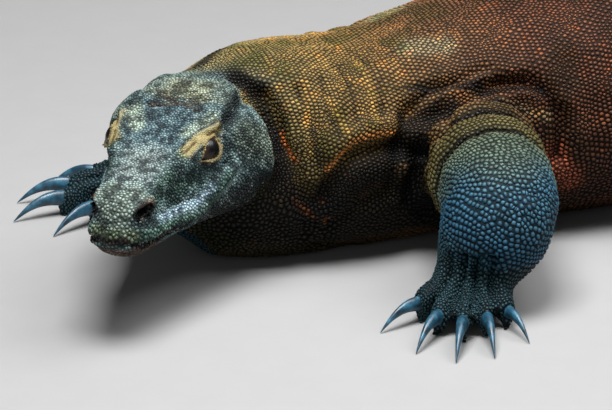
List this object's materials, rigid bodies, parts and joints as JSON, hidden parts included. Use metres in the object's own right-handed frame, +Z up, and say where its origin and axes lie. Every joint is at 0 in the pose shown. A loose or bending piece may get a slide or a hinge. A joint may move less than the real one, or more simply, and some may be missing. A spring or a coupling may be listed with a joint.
{
  "type": "komodo dragon",
  "caption": "Life-size still Komodo dragon lying on its belly, head raised and turned to its left, limbs sprawled with clawed hands and feet, long tail laid along the ground.",
  "frame": {"origin": "on the floor, under the middle of the ground that the animal covers from snout to tail tip and from foot to foot", "axes": "+X along the trunk towards the tail, +Y towards the animal's right side, +Z up; the head faces -X and is turned towards -Y"},
  "size_m": [2.6286, 0.8806, 0.2147],
  "materials": {
    "head_hide": "scaly, satin",
    "neck_hide": "scaly, satin",
    "trunk_hide": "scaly, satin",
    "tail_hide": "scaly, satin",
    "limb_hide": "scaly, satin",
    "claw_horn": "polished horn",
    "eye": "wet"
  },
  "bodies": {
    "root": {"head": "head_hide", "lower_jaw": "head_hide", "eye_left": "eye", "eye_right": "eye", "neck": "neck_hide", "trunk_front": "trunk_hide", "trunk_rear": "trunk_hide", "tail_base": "tail_hide", "tail_middle": "tail_hide", "tail_rear": "tail_hide", "tail_tip": "tail_hide", "upper_arm_fore_left": "limb_hide", "forearm_fore_left": "limb_hide", "hand_fore_left": "limb_hide", "claw_fore_left_1": "claw_horn", "claw_fore_left_2": "claw_horn", "claw_fore_left_3": "claw_horn", "claw_fore_left_4": "claw_horn", "claw_fore_left_5": "claw_horn", "upper_arm_fore_right": "limb_hide", "forearm_fore_right": "limb_hide", "hand_fore_right": "limb_hide", "claw_fore_right_1": "claw_horn", "claw_fore_right_2": "claw_horn", "claw_fore_right_3": "claw_horn", "claw_fore_right_4": "claw_horn", "claw_fore_right_5": "claw_horn", "thigh_hind_left": "limb_hide", "shank_hind_left": "limb_hide", "foot_hind_left": "limb_hide", "claw_hind_left_1": "claw_horn", "claw_hind_left_2": "claw_horn", "claw_hind_left_3": "claw_horn", "claw_hind_left_4": "claw_horn", "claw_hind_left_5": "claw_horn", "thigh_hind_right": "limb_hide", "shank_hind_right": "limb_hide", "foot_hind_right": "limb_hide", "claw_hind_right_1": "claw_horn", "claw_hind_right_2": "claw_horn", "claw_hind_right_3": "claw_horn", "claw_hind_right_4": "claw_horn", "claw_hind_right_5": "claw_horn"}
  },
  "joints": []
}
